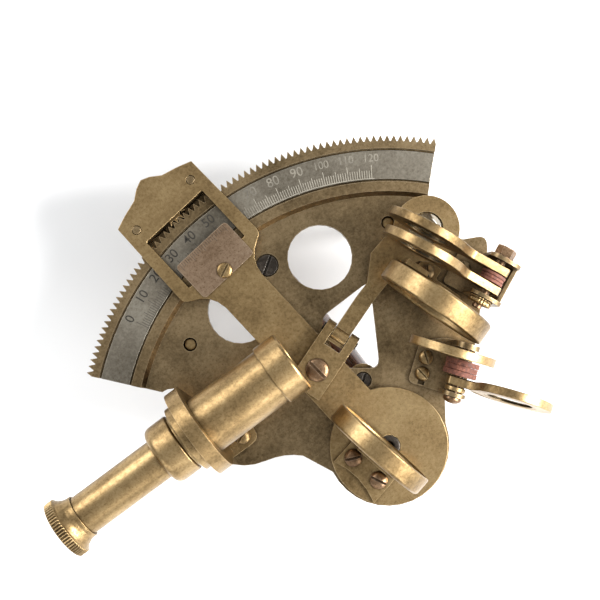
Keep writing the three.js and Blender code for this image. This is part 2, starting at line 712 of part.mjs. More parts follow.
/** The telescope with its axis along the group's +X, objective forward. */
function telescope(group) {
  const sight = new THREE.Group();
  sight.position.set(TELESCOPE.x, TELESCOPE.y, TELESCOPE.z);
  sight.rotation.z = rad(TELESCOPE.bearing);
  group.add(sight);
  const r = TELESCOPE.tube;
  const draw = TELESCOPE.drawTube;
  add(sight, 'telescope_bracket', telescopeBracket(), BRASS);
  const screw = add(sight, 'telescope_screw', slottedScrew(2.1, 1.4, 1, 1.5), BRASS);
  screw.position.set(6, -8, 1.6 - TELESCOPE.z);
  screw.rotation.z = rad(20);
  const tube = [[6.1, -1.8], [r, -1.8], [r, 24], [6.1, 24], [6.1, -1.8]];
  add(sight, 'telescope_tube', alongX(turned(tube, 28)), BRASS);
  const collar = [
    [draw + GAP, -11.1],
    [6.6, -11.1],
    [7.55, -9.8],
    [7.55, -4.8],
    [7.05, -4.6],
    [7.05, -3.9],
    [8.6, -3.8],
    [8.6, -1.9],
    [draw + GAP, -1.9],
    [draw + GAP, -11.1],
  ];
  add(sight, 'telescope_collar', alongX(turned(collar, 28)), BRASS);
  const bezel = [
    [r + GAP, 21.4],
    [7.7, 21.4],
    [7.8, 22],
    [7.8, 27.2],
    [7.5, 27.6],
    [6, 27.6],
    [6, 26.4],
    [6.95, 26.4],
    [6.95, 24.2],
    [r + GAP, 24.2],
    [r + GAP, 21.4],
  ];
  add(sight, 'objective_bezel', alongX(turned(bezel, 28)), BRIGHT_BRASS);
  const objective = add(sight, 'objective_lens', alongX(lens(6.8, 1, 0.5)), GLASS);
  objective.position.x = 24.9;
  const drawTube = [[4.2, -36.4], [draw, -36.4], [draw, 2], [4.2, 2], [4.2, -36.4]];
  add(sight, 'draw_tube', alongX(turned(drawTube, 24)), BRASS);
  const cap = [
    [3, -40.1],
    [7.2, -40.1],
    [7.45, -39.8],
    [7.45, -38.1],
    [7.1, -37.8],
    [5.9, -36],
    [5.55, -34.8],
    [5.55, -33.9],
    [draw + GAP, -33.9],
    [draw + GAP, -38.4],
    [3, -38.6],
    [3, -40.1],
  ];
  add(sight, 'eyepiece_cap', alongX(turned(cap, 28)), BRASS);
  const eye = add(sight, 'eye_lens', alongX(lens(4.9, 0.7, 0.4)), GLASS);
  eye.position.x = -37.8;
}

// ---------------------------------------------------------------- shades

/** Turns a flat shade's far part about its length, easing in past the bolt's washers. */
function twisted(geometry, twist) {
  const spots = geometry.attributes.position;
  for (let i = 0; i < spots.count; i += 1) {
    const spot = new THREE.Vector3().fromBufferAttribute(spots, i);
    const share = THREE.MathUtils.clamp((spot.x - 3) / 2, 0, 1);
    spot.applyAxisAngle(new THREE.Vector3(1, 0, 0), rad(twist) * share);
    spots.setXYZ(i, spot.x, spot.y, spot.z);
  }
  return geometry;
}

/** One spoon-shaped shade frame, flat, with the bolt hole at the origin and its ring along +X. */
function shadeFrame(reach) {
  const { radius, tailHalf, glass, thickness } = SHADE;
  const meet = 140;
  const [rx, ry] = polar(radius, meet);
  const shape = new THREE.Shape();
  shape.moveTo(-tailHalf, -tailHalf);
  shape.lineTo(reach - radius - 2, -tailHalf);
  shape.quadraticCurveTo(reach - radius + 0.2, -tailHalf - 0.3, reach + rx, -ry);
  sweep(shape, reach, 0, radius, -meet, meet, 24);
  shape.quadraticCurveTo(reach - radius + 0.2, tailHalf + 0.3, reach - radius - 2, tailHalf);
  shape.lineTo(-tailHalf, tailHalf);
  shape.closePath();
  pierce(shape, 0, 0, BOLT_RADIUS + GAP);
  pierce(shape, reach, 0, glass);
  return plate(shape, -thickness / 2, thickness / 2);
}

/** The frames of a shade set on their bolt, each with its dark glass. */
function shades(set, stand) {
  for (const { name, along, tilt, twist } of set.frames) {
    const shade = new THREE.Group();
    shade.position.x = along;
    shade.rotation.x = rad(tilt);
    stand.add(shade);
    add(shade, name, alongX(twisted(shadeFrame(set.reach), twist)), BRIGHT_BRASS);
    const pane = twisted(post(SHADE.glass - 0.2, -0.6, 0.6, set.reach, 0, 28), twist);
    add(shade, `${name}_glass`, alongX(pane), SHADE_GLASS);
  }
}

/** A fibre washer, or a stack of them, between two places along the bolt. */
function washer(from, to, radius) {
  const hole = BOLT_RADIUS + GAP;
  return alongX(turned([[hole, from], [radius, from], [radius, to], [hole, to], [hole, from]], 16));
}

/** A group on a bolt's axis, with the bolt along +X. */
function boltStand(group, { x, y, z, bearing }) {
  const stand = new THREE.Group();
  stand.position.set(x, y, z);
  stand.rotation.z = rad(bearing);
  group.add(stand);
  return stand;
}

/** An ear across the bolt: a plate from the foot up, round at the top. */
function ear(from, to, low, back, front, top) {
  const shape = new THREE.Shape();
  shape.moveTo(back, low);
  shape.lineTo(front, low);
  shape.lineTo(front, 0);
  shape.quadraticCurveTo(front, top, 0, top);
  shape.quadraticCurveTo(back, top, back, 0);
  shape.closePath();
  pierce(shape, 0, 0, BOLT_RADIUS + GAP);
  return alongX(plate(shape, from, to));
}

/** The two shades of the horizon mirror, in a U-shaped bracket on the frame's lug. */
function horizonShades(group) {
  const stand = boltStand(group, HORIZON_SHADES);
  const floor = -HORIZON_SHADES.z;
  const outer = 5.45;
  const wall = 1;
  const foot = roundedPolygon([[-outer, -4.9], [outer, -4.9], [outer, 8.6], [-outer, 8.6]], 1);
  pierce(foot, 0, 5.6, 0.9 + GAP);
  const bracket = join(
    plate(foot, floor, floor + 1.2),
    ear(-outer, -outer + wall, floor, -4.9, 3.2, 3.2),
    ear(outer - wall, outer, floor, -4.9, 3.2, 3.2),
    block([-outer, -4.9, floor], [outer, -3.9, -3]),
  );
  add(stand, 'horizon_shade_bracket', bracket, DARK_BRASS);
  const screw = add(stand, 'horizon_bracket_screw', slottedScrew(1.8, 1.1, 0.9, 1.1), DARK_BRASS);
  screw.position.set(0, 5.6, floor + 1.2);
  screw.rotation.z = rad(30);
  const head = new THREE.CylinderGeometry(2.45, 2.45, 2.4, 6).rotateX(Math.PI / 2).translate(0, 0, 6.75);
  const bolt = join(alongX(post(BOLT_RADIUS, -8.2, 6, 0, 0, 16)), alongX(head));
  add(stand, 'horizon_shade_bolt', bolt, COPPER);
  add(stand, 'horizon_shade_nut', washer(-7.1, -outer - 0.05, 3), BRASS);
  add(stand, 'horizon_shade_washers', washer(-1.2, 1.2, 3), FIBRE);
  shades(HORIZON_SHADES, stand);
}

/** The two shades of the index mirror, between the ears of a low bracket. */
function indexShades(group) {
  const stand = boltStand(group, INDEX_SHADES);
  const floor = -INDEX_SHADES.z;
  const foot = roundedPolygon([[-3.2, -3], [10.2, -3], [10.2, 5], [7.4, 11], [-3.2, 11]], 1.6);
  for (const [x, y] of [[-0.2, 8.1], [3.9, 8.4]]) pierce(foot, x, y, 0.9 + GAP);
  const slot = block([-2.9, 6.9, floor - 1], [-1.9, 8.6, floor + 3]);
  const bracket = cut(join(
    plate(foot, floor, floor + 1.2),
    ear(-3.2, -2.2, floor, -3, 3, 2.9),
    ear(8.9, 10.2, floor, -3, 3, 2.9),
  ), slot);
  add(stand, 'index_shade_bracket', bracket, DARK_BRASS);
  [[-0.2, 8.1], [3.9, 8.4]].forEach(([x, y], i) => {
    const screw = add(stand, `index_bracket_screw_${i + 1}`, slottedScrew(1.8, 1.3, 0.9, 1.1), BRASS);
    screw.position.set(x, y, floor + 1.2);
    screw.rotation.z = rad(60 - 25 * i);
  });
  const bolt = turned([
    [0, -5],
    [1.3, -4.8],
    [2.3, -4.1],
    [2.3, -3.3],
    [BOLT_RADIUS, -3.3],
    [BOLT_RADIUS, 10.3],
    [0, 10.3],
  ], 16);
  add(stand, 'index_shade_bolt', alongX(bolt), COPPER);
  add(stand, 'index_shade_bushing', washer(-1.9, -0.75, 2.6), BRASS);
  add(stand, 'index_shade_washers', washer(2, 5.95, 4.2), FIBRE);
  shades(INDEX_SHADES, stand);
}

// ---------------------------------------------------------------- assembly

/** The whole instrument, about the pivot. */
function instrument() {
  const group = new THREE.Group();
  add(group, 'frame_plate', framePlate(), DARK_BRASS);
  add(group, 'scale_strip', scaleStrip(), SILVER);
  for (const { name, radius, bearing } of LEG_STUDS) {
    const [x, y] = polar(radius, bearing);
    add(group, name, leg(), BRASS).position.set(x, y, 0);
  }
  handle(group);
  horizonMirror(group);
  telescope(group);
  horizonShades(group);
  indexShades(group);
  indexArm(group);
  return group;
}

const sextant = new THREE.Group();
const body = instrument();
sextant.add(body);
sextant.updateMatrixWorld(true);
const bounds = new THREE.Box3().setFromObject(sextant, true);
const middle = bounds.getCenter(new THREE.Vector3());
body.position.set(-middle.x, -middle.y, -bounds.min.z);

export default sextant;
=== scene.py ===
"""Looks of a small antique-brass sextant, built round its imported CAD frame.

Lengths are in millimetres in each stand's own axes, and are turned into metres in the row frame
when a piece is made. A stand is a matrix from a local group to the group whose origin is the pivot
of the index arm at the upper face of the frame's web. Bearings are degrees counterclockwise from
+X, seen from above.
"""

import json
import math

import bmesh
import bpy
from mathutils import Matrix, Vector

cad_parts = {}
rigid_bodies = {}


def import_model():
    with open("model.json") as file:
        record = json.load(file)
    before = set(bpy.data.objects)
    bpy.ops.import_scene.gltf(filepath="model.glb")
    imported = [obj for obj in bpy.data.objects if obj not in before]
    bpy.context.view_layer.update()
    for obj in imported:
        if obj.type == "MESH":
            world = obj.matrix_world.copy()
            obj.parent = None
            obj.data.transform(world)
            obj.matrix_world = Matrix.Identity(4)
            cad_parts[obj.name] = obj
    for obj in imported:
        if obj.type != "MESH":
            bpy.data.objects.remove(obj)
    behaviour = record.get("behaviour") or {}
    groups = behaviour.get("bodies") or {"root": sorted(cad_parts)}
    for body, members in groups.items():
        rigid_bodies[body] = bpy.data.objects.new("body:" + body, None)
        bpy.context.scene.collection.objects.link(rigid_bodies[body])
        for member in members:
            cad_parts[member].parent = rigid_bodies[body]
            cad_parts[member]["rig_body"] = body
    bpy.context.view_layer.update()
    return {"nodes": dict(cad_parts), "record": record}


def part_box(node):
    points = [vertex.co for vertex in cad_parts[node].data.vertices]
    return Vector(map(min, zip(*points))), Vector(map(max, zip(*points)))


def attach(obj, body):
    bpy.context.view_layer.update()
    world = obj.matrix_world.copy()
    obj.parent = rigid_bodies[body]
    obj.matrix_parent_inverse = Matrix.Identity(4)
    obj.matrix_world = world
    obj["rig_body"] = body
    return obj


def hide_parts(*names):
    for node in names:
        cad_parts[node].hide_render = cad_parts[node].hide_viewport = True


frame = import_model()

SLOT_OF = {part["node"]: part["material_slot"] for part in frame["record"]["subparts"]}

# ---------------------------------------------------------------- stands

MM = 0.001
axle_low, axle_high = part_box("arm_axle")
AXLE_TOP = 3.95
PIVOT = Vector((
    (axle_low.x + axle_high.x) / 2,
    (axle_low.y + axle_high.y) / 2,
    axle_high.z - AXLE_TOP * MM,
))
TO_ROW = Matrix.Translation(PIVOT) @ Matrix.Scale(MM, 4)


def stand(x=0, y=0, z=0, bearing=0):
    """A group's matrix: its origin and the bearing of its +X."""
    return Matrix.Translation((x, y, z)) @ Matrix.Rotation(math.radians(bearing), 4, "Z")


ON_SIDE = Matrix(((0, 0, 1, 0), (1, 0, 0, 0), (0, 1, 0, 0), (0, 0, 0, 1)))  # Z to X, X to Y, Y to Z
ARM_BEARING = 279.1
ARM = stand(bearing=ARM_BEARING)
PINION_AXIS = ARM @ stand(79.6)  # the tangent drive
CLEVIS = ARM @ stand(26, bearing=-76.9)
MIRROR_Z = 17.65
INDEX_MIRROR = ARM @ stand(2.8, 1.9, MIRROR_Z, 95.4)
HORIZON_MIRROR = stand(-28.3, -23.9, MIRROR_Z, 200.8)
SIGHT_Z = 17.5
SIGHT = stand(35.15, -30, SIGHT_Z, 182.5)
HORIZON_SHADES_Z = 16
HORIZON_SHADES = stand(-42.7, -21, HORIZON_SHADES_Z, 207.5)
INDEX_SHADES_Z = 7
INDEX_SHADES = stand(-22.2, -3.8, INDEX_SHADES_Z, 219)
LEGS = {"leg_scale_side": (55.4, 299.2), "leg_shade_side": (55.4, 236), "leg_hub": (11, 60)}
HANDLE_POSTS = {"limb": (0, -54), "hub": (-3.9, -16.8)}


def polar(radius, bearing):
    """The point at a radius and a bearing."""
    return radius * math.cos(math.radians(bearing)), radius * math.sin(math.radians(bearing))


# ---------------------------------------------------------------- materials

WEAR_AND_HIGHLIGHT_RADIUS = 0.36  # how far edge wear and the painted edge highlight reach from an edge
PAINTED_SHADE_REACH = 1.4  # how near a wall has to be for the colour to be darkened as painted shade
PAINTED_SHADE_DARKNESS = 0.22  # the painted shade's colour as a share of the deep patina


class Look:
    """A Principled material whose colour, roughness and bump come from procedural textures."""

    def __init__(self, name):
        self.material = bpy.data.materials.new(name)
        self.material.use_nodes = True
        self.tree = self.material.node_tree
        self.shader = self.tree.nodes["Principled BSDF"]
        self.place = self.tree.nodes.new("ShaderNodeTexCoord").outputs["Object"]

    def node(self, kind, inputs=(), **settings):
        made = self.tree.nodes.new(kind)
        for key, value in settings.items():
            setattr(made, key, value)
        for key, value in dict(inputs).items():
            if isinstance(value, bpy.types.NodeSocket):
                self.tree.links.new(value, made.inputs[key])
            else:
                made.inputs[key].default_value = value
        return made

    def noise(self, size, detail=4, roughness=0.6, stretch=(1, 1, 1)):
        """A noise whose features are about `size` millimetres across."""
        mapped = self.node("ShaderNodeMapping", {"Vector": self.place, "Scale": stretch})
        return self.node("ShaderNodeTexNoise", {
            "Vector": mapped.outputs[0],
            "Scale": 1 / (size * MM),
            "Detail": detail,
            "Roughness": roughness,
        }).outputs["Fac"]

    def ramp(self, value, *stops):
        """A colour ramp through (position, colour) stops."""
        made = self.node("ShaderNodeValToRGB", {"Fac": value})
        elements = made.color_ramp.elements
        while len(elements) < len(stops):
            elements.new(0.5)
        for element, (position, colour) in zip(elements, stops):
            element.position = position
            element.color = (*colour, 1)
        return made.outputs["Color"]

    def span(self, value, low, high, start=0.3, end=0.7):
        """The value's range from start to end spread over low to high."""
        inputs = {"Value": value, "From Min": start, "From Max": end, "To Min": low, "To Max": high}
        return self.node("ShaderNodeMapRange", inputs).outputs["Result"]

    def mix(self, share, first, second, blend="MIX"):
        """Two colours mixed by a share."""
        made = self.node("ShaderNodeMix", data_type="RGBA", blend_type=blend)
        for slot, value in ((0, share), (6, first), (7, second)):
            if isinstance(value, bpy.types.NodeSocket):
                self.tree.links.new(value, made.inputs[slot])
            else:
                made.inputs[slot].default_value = value if slot == 0 else (*value, 1)
        return made.outputs[2]

    def add(self, first, second, operation="ADD"):
        """Arithmetic on two values."""
        made = self.node("ShaderNodeMath", operation=operation)
        for slot, value in enumerate((first, second)):
            if isinstance(value, bpy.types.NodeSocket):
                self.tree.links.new(value, made.inputs[slot])
            else:
                made.inputs[slot].default_value = value
        return made.outputs[0]

    def bump(self, height, distance):
        """Bump of a real height in millimetres."""
        made = self.node("ShaderNodeBump", {"Height": height, "Distance": distance * MM, "Strength": 1.0})
        self.tree.links.new(made.outputs["Normal"], self.shader.inputs["Normal"])

    def edge_wear(self):
        """How near a sharp edge, outer or hollow, a point is, from 0 to 0.85, broken up by noise; it lightens
        the colour partly as wear and partly as a painted highlight.
        """
        rounded = self.node("ShaderNodeBevel", {"Radius": WEAR_AND_HIGHLIGHT_RADIUS * MM}, samples=4).outputs["Normal"]
        true = self.node("ShaderNodeNewGeometry").outputs["Normal"]
        dot = self.node("ShaderNodeVectorMath", {0: rounded, 1: true}, operation="DOT_PRODUCT")
        near = self.span(dot.outputs["Value"], 0.85, 0.0, 0.72, 0.985)
        return self.add(near, self.span(self.noise(0.9, 3, 0.6), 0.5, 1.0), "MULTIPLY")

    def grime(self):
        """How much painted shade darkens a corner, a slot or a spot close under another part, from 0 in the
        open to 0.95.
        """
        occlusion = self.node("ShaderNodeAmbientOcclusion", {"Distance": PAINTED_SHADE_REACH * MM}, samples=6)
        shaded = self.span(occlusion.outputs["AO"], 0.95, 0.0, 0.3, 0.86)
        return self.add(shaded, self.span(self.noise(0.7, 3, 0.6), 0.6, 1.0), "MULTIPLY")

    def set(self, **inputs):
        """Sets or links inputs of the shader, named with underscores for spaces."""
        for key, value in inputs.items():
            socket = self.shader.inputs[key.replace("_", " ")]
            if isinstance(value, bpy.types.NodeSocket):
                self.tree.links.new(value, socket)
            else:
                socket.default_value = value
        return self.material


def patinated(name, deep, mid, bright, roughness, specks=0.75):
    """Aged metal: cloudy patina, dark specks, painted shade in corners, fine scratches, and edges lightened
    by wear and by a painted highlight.
    """
    look = Look(name)
    cloud = look.noise(14, 5, 0.55)
    mottle = look.noise(0.9, 4, 0.65)
    blend = look.add(look.add(cloud, 0.62, "MULTIPLY"), look.add(mottle, 0.38, "MULTIPLY"))
    colour = look.ramp(blend, (0.35, deep), (0.5, mid), (0.65, bright))
    speck = look.ramp(look.noise(0.4, 3, 0.5), (0.54, (1, 1, 1)), (0.7, (0.42, 0.35, 0.26)))
    colour = look.mix(specks, colour, speck, "MULTIPLY")
    # painted shade: the colour is darkened nearly to black in corners, slots and under nearby parts
    colour = look.mix(look.grime(), colour, tuple(c * PAINTED_SHADE_DARKNESS for c in deep))
    # edges, hollow ones too, are lightened: partly wear, partly a painted highlight
    colour = look.mix(look.edge_wear(), colour, tuple(min(1, c * 1.5 + 0.06) for c in bright))
    scratch = look.noise(0.14, 2, 0.5, (1, 8, 1))
    rough = look.add(look.span(blend, roughness + 0.07, roughness - 0.05), look.span(scratch, -0.03, 0.05))
    look.bump(look.add(look.noise(0.35, 4, 0.6), look.add(scratch, 0.4, "MULTIPLY")), 0.02)
    return look.set(Base_Color=colour, Metallic=1.0, Roughness=rough)


def engraved(name, filled, rubbed):
    """Engraving whose dark filling is rubbed away towards the far end of the scale."""
    look = Look(name)
    across = look.node("ShaderNodeSeparateXYZ", {"Vector": look.place}).outputs["X"]
    far = look.span(across, 0.15, 1, PIVOT.x + 3 * MM, PIVOT.x - 9 * MM)
    share = look.add(far, look.span(look.noise(2.5, 4, 0.6), 0.6, 1), "MULTIPLY")
    colour = look.mix(share, filled, rubbed)
    return look.set(Base_Color=colour, Metallic=0.7, Roughness=look.span(look.noise(1.2), 0.4, 0.6))


def varnished_wood(name):
    """Dark varnished hardwood with long grain."""
    look = Look(name)
    grain = look.noise(1.2, 6, 0.65, (1, 0.09, 1))
    pores = look.noise(0.25, 2, 0.5, (1, 0.06, 1))
    colour = look.ramp(
        grain,
        (0.3, (0.028, 0.009, 0.005)),
        (0.5, (0.085, 0.028, 0.013)),
        (0.7, (0.16, 0.06, 0.026)),
    )
    look.bump(pores, 0.03)
    rough = look.span(grain, 0.22, 0.34)
    return look.set(Base_Color=colour, Roughness=rough, Coat_Weight=0.5, Coat_Roughness=0.12)


def red_fibre(name):
    """Vulcanised fibre, dull red with a dusty surface."""
    look = Look(name)
    dust = look.noise(0.7, 5, 0.7)
    colour = look.ramp(
        dust,
        (0.3, (0.05, 0.015, 0.008)),
        (0.52, (0.155, 0.05, 0.029)),
        (0.72, (0.31, 0.125, 0.078)),
    )
    look.bump(dust, 0.04)
    return look.set(Base_Color=colour, Roughness=look.span(dust, 0.6, 0.85))


def clear_glass(name, tint, smeared=None):
    """Polished glass with faint smears, in a second tint if one is given."""
    look = Look(name)
    smear = look.noise(4, 3, 0.6)
    low = tuple(c * 0.92 for c in tint)
    colour = look.ramp(smear, (0.35, low), (0.65, smeared or tint))
    rough = look.span(smear, 0.015, 0.07)
    return look.set(Base_Color=colour, Roughness=rough, IOR=1.5, Transmission_Weight=1.0)


def silvered(name):
    """Mirror glass, silvered, with slight haze."""
    look = Look(name)
    haze = look.noise(5, 4, 0.6)
    colour = look.ramp(haze, (0.35, (0.66, 0.68, 0.67)), (0.65, (0.82, 0.84, 0.83)))
    return look.set(Base_Color=colour, Metallic=1.0, Roughness=look.span(haze, 0.02, 0.08))


# Each metal's patina where it is deep, middling and bright, its roughness and its specks.
METALS = {
    "brass": ("antique_brass", (0.135, 0.088, 0.038), (0.295, 0.2, 0.093), (0.45, 0.32, 0.158), 0.34, 0.5),
    "dark_brass": (
        "dark_brass", (0.09, 0.062, 0.031), (0.22, 0.156, 0.082), (0.36, 0.262, 0.144), 0.36, 0.55,
    ),
    "silvered_scale": (
        "silvered_scale", (0.12, 0.104, 0.078), (0.225, 0.198, 0.155), (0.36, 0.325, 0.26), 0.37, 0.35,
    ),
    "vernier_plate": ("vernier_plate", (0.18, 0.118, 0.072), (0.32, 0.222, 0.145), (0.46, 0.34, 0.235), 0.34),
    "copper_screws": ("bronze_screws", (0.085, 0.05, 0.028), (0.2, 0.122, 0.068), (0.36, 0.235, 0.14), 0.33),
    "dark_screws": ("blackened_steel", (0.02, 0.017, 0.014), (0.055, 0.046, 0.038), (0.14, 0.12, 0.10), 0.38),
}
MATERIALS = {slot: patinated(*metal) for slot, metal in METALS.items()}
MATERIALS["fibre_washers"] = red_fibre("red_fibre")
MATERIALS["lens_glass"] = clear_glass("lens_glass", (0.93, 0.96, 0.94))
MATERIALS["shade_glass"] = clear_glass("shade_glass", (0.035, 0.028, 0.018), (0.07, 0.055, 0.034))
MATERIALS["mirror"] = silvered("mirror_glass")
MATERIALS["wood"] = varnished_wood("varnished_wood")

# ---------------------------------------------------------------- mesh tools

SHARP_ANGLE = math.radians(48)


def smooth(bm):
    """Smooth shading, with the sharp edges marked."""
    for face in bm.faces:
        face.smooth = True
    for edge in bm.edges:
        edge.smooth = not (edge.is_manifold and edge.calc_face_angle(0) > SHARP_ANGLE)


def piece(name, bm, like, group=None, slot=None, nodes=(), finish=None):
    """Makes a piece from a bmesh in a stand's millimetres; it rides and is finished like a CAD node."""
    bm.transform(TO_ROW @ (group or Matrix.Identity(4)))
    smooth(bm)
    mesh = bpy.data.meshes.new(name)
    bm.to_mesh(mesh)
    bm.free()
    obj = bpy.data.objects.new(name, mesh)
    bpy.context.scene.collection.objects.link(obj)
    slot = slot or SLOT_OF[like]
    mesh.materials.append(finish or MATERIALS[slot])
    weighted = obj.modifiers.new("weighted_normals", "WEIGHTED_NORMAL")
    weighted.keep_sharp = True
    weighted.weight = 80
    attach(obj, frame["nodes"][like]["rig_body"])
    if nodes:
        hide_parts(*nodes)
    return obj


def remake(node, bm, group=None):
    """A finer piece that stands for one CAD node."""
    return piece(f"{node}_fine", bm, node, group, nodes=[node])


def refine(node, width, keep=None, segments=2):
    """A copy of a CAD node with its edges rounded; keep(a, b) says which edges may be rounded."""
    bm = bmesh.new()
    bm.from_mesh(frame["nodes"][node].data)
    bm.transform(TO_ROW.inverted())
    bmesh.ops.remove_doubles(bm, verts=bm.verts, dist=0.002)
    flat = math.radians(0.5)
    bmesh.ops.dissolve_limit(bm, angle_limit=flat, verts=bm.verts, edges=bm.edges)
    corner = math.radians(32)
    edges = [
        e for e in bm.edges
        if e.is_manifold
        and e.calc_face_angle(0) > corner
        and (keep is None or keep(e.verts[0].co, e.verts[1].co))
    ]
    bmesh.ops.bevel(
        bm, geom=edges, offset=width, segments=segments, profile=0.5, affect="EDGES", clamp_overlap=True,
    )
    return piece(f"{node}_fine", bm, node, nodes=[node])


def soften(profile, radius, closed):
    """A [radius, height] profile with its corners rounded; a third value is a knurl's depth."""
    count = len(profile)
    points = []
    for i, point in enumerate(profile):
        r, z, *knurl = point
        ends = not closed and i in (0, count - 1)
        before, after = profile[i - 1], profile[(i + 1) % count]
        reach_before = math.hypot(before[0] - r, before[1] - z)
        reach_after = math.hypot(after[0] - r, after[1] - z)
        cut = min(radius, reach_before * 0.45, reach_after * 0.45)
        if ends or cut < 0.01 or knurl:
            points.append((r, z, *knurl))
            continue
        a = Vector((r + (before[0] - r) * cut / reach_before, z + (before[1] - z) * cut / reach_before))
        b = Vector((r + (after[0] - r) * cut / reach_after, z + (after[1] - z) * cut / reach_after))
        corner = Vector((r, z))
        for t in (0, 0.33, 0.67, 1):
            p = a * (1 - t) ** 2 + corner * 2 * t * (1 - t) + b * t * t
            points.append((p.x, p.y))
    return points


def lathe(profile, segments, radius):
    """Turns a profile about Z. It starts and ends on the axis, or closes on itself.

    A knurled point's grooves are two segments wide, and so are the ridges between them.
    """
    bm = bmesh.new()
    closed = profile[0][0] > 1e-6
    rings = []
    for r, z, *knurl in soften(profile, radius, closed):
        if r < 1e-6:
            rings.append([bm.verts.new((0, 0, z))])
            continue
        ring = []
        for k in range(segments):
            reach = r - (knurl[0] if knurl and k % 4 > 1 else 0)
            x, y = polar(reach, 360 * k / segments)
            ring.append(bm.verts.new((x, y, z)))
        rings.append(ring)
    if closed:
        rings.append(rings[0])
    for lower, upper in zip(rings, rings[1:]):
        for k in range(segments):
            n = (k + 1) % segments
            if len(lower) == 1:
                bm.faces.new((lower[0], upper[n], upper[k]))
            elif len(upper) == 1:
                bm.faces.new((lower[k], lower[n], upper[0]))
            else:
                bm.faces.new((lower[k], lower[n], upper[n], upper[k]))
    return bm


def ring_points(x, y, radius, start, end, steps):
    """Points along an arc; a full circle leaves out the repeated last one."""
    count = steps if abs(end - start) == 360 else steps + 1
    return [
        Vector((x, y)) + Vector(polar(radius, start + (end - start) * i / steps))
        for i in range(count)
    ]


def curve_points(a, control, b, steps=10):
    """Points along a quadratic curve."""
    a, control, b = Vector(a), Vector(control), Vector(b)
    return [
        a * (1 - t) ** 2 + control * 2 * t * (1 - t) + b * t * t
        for t in (i / steps for i in range(steps + 1))
    ]


def slab(loops, low, high, edge):
    """A plate between two heights from closed outlines, with rounded rims; inner loops are holes."""
    data = bpy.data.curves.new("slab", "CURVE")
    data.dimensions = "2D"
    data.fill_mode = "BOTH"
    data.extrude = (high - low) / 2 - edge
    data.bevel_depth = edge
    data.bevel_resolution = 2
    data.offset = -edge
    for loop in loops:
        spline = data.splines.new("POLY")
        spline.points.add(len(loop) - 1)
        for point, (x, y) in zip(spline.points, loop):
            point.co = (x, y, 0, 1)
        spline.use_cyclic_u = True
    holder = bpy.data.objects.new("slab", data)
    bpy.context.scene.collection.objects.link(holder)
    bpy.context.view_layer.update()
    mesh = bpy.data.meshes.new_from_object(holder.evaluated_get(bpy.context.evaluated_depsgraph_get()))
    made = bmesh.new()
    made.from_mesh(mesh)
    bpy.data.objects.remove(holder)
    bpy.data.curves.remove(data)
    bpy.data.meshes.remove(mesh)
    bmesh.ops.remove_doubles(made, verts=made.verts, dist=1e-4)
    bmesh.ops.dissolve_limit(made, angle_limit=0.005, verts=made.verts, edges=made.edges)
    bmesh.ops.recalc_face_normals(made, faces=made.faces)
    made.transform(Matrix.Translation((0, 0, (low + high) / 2)))
    return made


def merge(bm, other):
    """Adds another bmesh's geometry."""
    mesh = bpy.data.meshes.new("part")
    other.to_mesh(mesh)
    other.free()
    bm.from_mesh(mesh)
    bpy.data.meshes.remove(mesh)


def carve(bm, tool):
    """A bmesh with another's volume cut away."""
    objects = []
    for source in (bm, tool):
        mesh = bpy.data.meshes.new("carve")
        source.to_mesh(mesh)
        source.free()
        obj = bpy.data.objects.new("carve", mesh)
        bpy.context.scene.collection.objects.link(obj)
        objects.append(obj)
    body, cutter = objects
    modifier = body.modifiers.new("carve", "BOOLEAN")
    modifier.operation = "DIFFERENCE"
    modifier.solver = "EXACT"
    modifier.object = cutter
    bpy.context.view_layer.update()
    mesh = bpy.data.meshes.new_from_object(body.evaluated_get(bpy.context.evaluated_depsgraph_get()))
    result = bmesh.new()
    result.from_mesh(mesh)
    bpy.data.meshes.remove(mesh)
    for obj in objects:
        data = obj.data
        bpy.data.objects.remove(obj)
        bpy.data.meshes.remove(data)
    return result


def bar(x0, y0, z0, x1, y1, z1):
    """A block between two corners."""
    bm = bmesh.new()
    bmesh.ops.create_cube(bm, size=1)
    bm.transform(
        Matrix.Translation(((x0 + x1) / 2, (y0 + y1) / 2, (z0 + z1) / 2))
        @ Matrix.Diagonal((x1 - x0, y1 - y0, z1 - z0, 1))
    )
    return bm


# ---------------------------------------------------------------- screws


SLOT_WIDTH = 0.14  # half the slot's width as a share of the head's radius


def slotted(head, height, shank, length):
    """A domed, slotted screw standing on z = 0."""
    bm = lathe([
        (0, -length),
        (shank, -length),
        (shank, 0),
        (head, 0),
        (head, height * 0.35),
        (head * 0.9, height * 0.62),
        (head * 0.7, height * 0.84),
        (head * 0.4, height * 0.96),
        (0, height),
    ], 48, 0.08)
    half = head * SLOT_WIDTH
    return carve(bm, bar(-head * 1.2, -half, height * 0.3, head * 1.2, half, height * 2))


